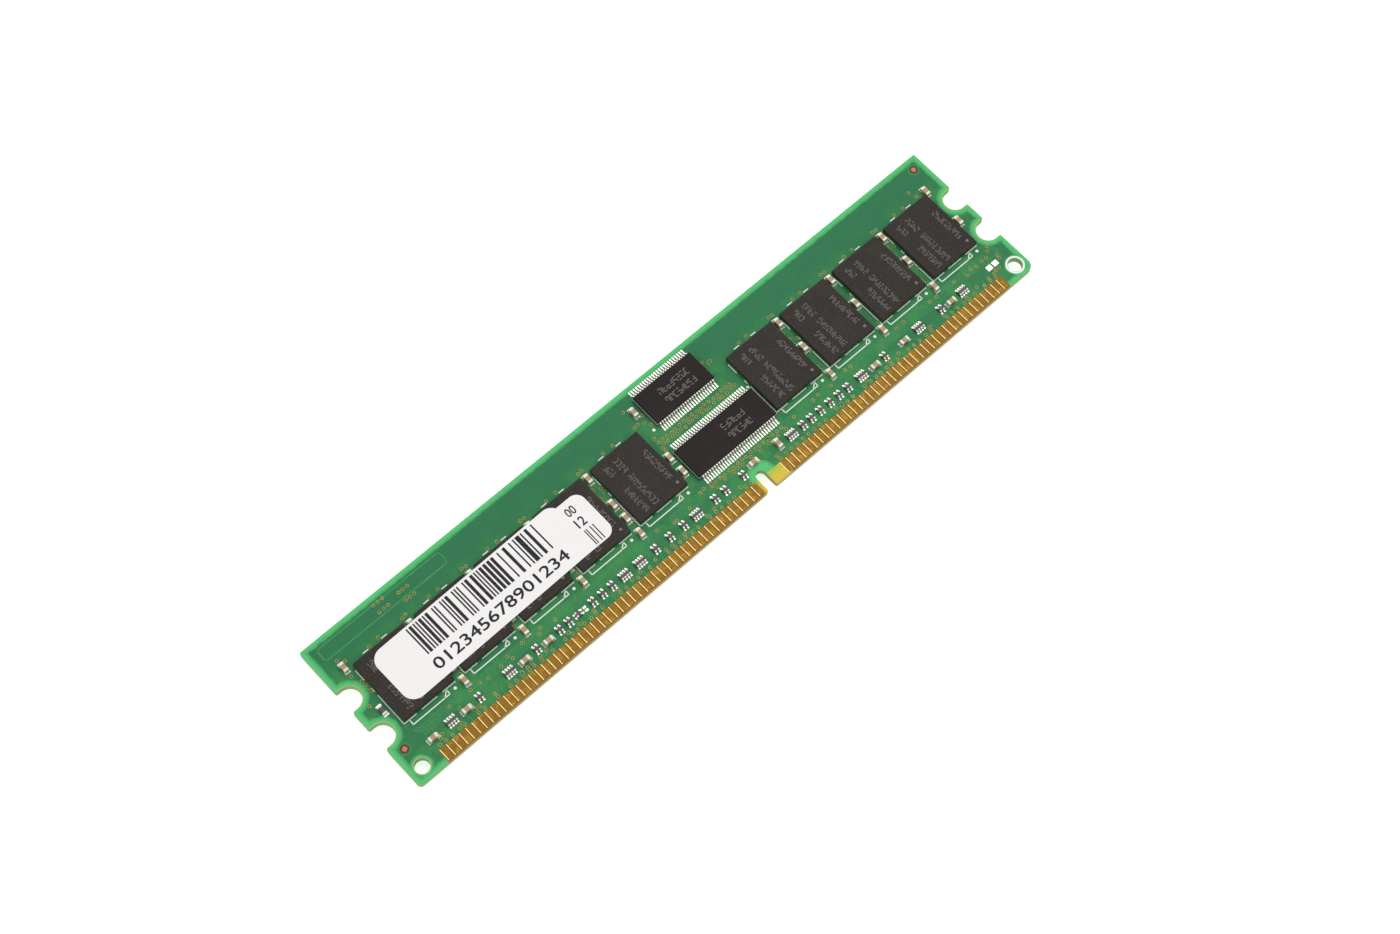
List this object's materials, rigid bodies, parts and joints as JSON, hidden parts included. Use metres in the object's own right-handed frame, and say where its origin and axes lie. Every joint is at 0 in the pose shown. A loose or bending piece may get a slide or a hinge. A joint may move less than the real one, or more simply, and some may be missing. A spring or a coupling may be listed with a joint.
{
  "type": "memory module",
  "caption": "Registered memory module: a green circuit board with gold edge contacts on both faces, black memory packages, a register, a clock chip and a labelled front.",
  "frame": {"origin": "under the middle of the board, on the plane of the back packages' outer faces, which the module rests on", "axes": "+X along the board towards its short contact row, +Y from the edge contacts to the top edge, +Z out of the labelled front face"},
  "size_m": [0.1334, 0.0286, 0.0036],
  "materials": {
    "board_laminate": "green solder mask over glass-epoxy laminate",
    "gold_contacts": "thin gold plating over nickel and copper",
    "memory_moulding": "matt black moulding compound",
    "package_substrate": "dark laminate",
    "silicon": "polished silicon",
    "solder": "reflowed solder",
    "logic_moulding": "smooth black moulding compound",
    "tinned_leads": "matt tin plating",
    "capacitor_ceramic": "fired brown ceramic",
    "tinned_ends": "tin plating with solder",
    "resistor_glaze": "black glaze",
    "tinned_pads": "solder-coated copper",
    "label_paper": "white coated paper"
  },
  "bodies": {
    "root": {"back_array_bodies": "resistor_glaze", "back_array_ends": "tinned_ends", "back_capacitor_bodies": "capacitor_ceramic", "back_capacitor_ends": "tinned_ends", "back_contacts_long_row": "gold_contacts", "back_contacts_short_row": "gold_contacts", "back_memory_balls": "solder", "back_memory_chip_1": "memory_moulding", "back_memory_chip_2": "memory_moulding", "back_memory_chip_3": "memory_moulding", "back_memory_chip_4": "memory_moulding", "back_memory_chip_5": "memory_moulding", "back_memory_chip_6": "memory_moulding", "back_memory_chip_7": "memory_moulding", "back_memory_chip_8": "memory_moulding", "back_memory_chip_9": "memory_moulding", "back_memory_dies": "silicon", "back_memory_substrates": "package_substrate", "back_register_body": "logic_moulding", "back_register_die": "silicon", "back_register_leads": "tinned_leads", "back_resistor_bodies": "resistor_glaze", "back_resistor_ends": "tinned_ends", "back_solder_pads": "tinned_pads", "circuit_board": "board_laminate", "clock_chip_body": "logic_moulding", "clock_chip_die": "silicon", "clock_chip_leads": "tinned_leads", "eeprom_body": "logic_moulding", "eeprom_die": "silicon", "eeprom_leads": "tinned_leads", "front_array_bodies": "resistor_glaze", "front_array_ends": "tinned_ends", "front_capacitor_bodies": "capacitor_ceramic", "front_capacitor_ends": "tinned_ends", "front_contacts_long_row": "gold_contacts", "front_contacts_short_row": "gold_contacts", "front_memory_balls": "solder", "front_memory_chip_1": "memory_moulding", "front_memory_chip_2": "memory_moulding", "front_memory_chip_3": "memory_moulding", "front_memory_chip_4": "memory_moulding", "front_memory_chip_5": "memory_moulding", "front_memory_chip_6": "memory_moulding", "front_memory_chip_7": "memory_moulding", "front_memory_chip_8": "memory_moulding", "front_memory_chip_9": "memory_moulding", "front_memory_dies": "silicon", "front_memory_substrates": "package_substrate", "front_register_body": "logic_moulding", "front_register_die": "silicon", "front_register_leads": "tinned_leads", "front_resistor_bodies": "resistor_glaze", "front_resistor_ends": "tinned_ends", "front_solder_pads": "tinned_pads", "main_label": "label_paper", "small_label": "label_paper"}
  },
  "joints": []
}
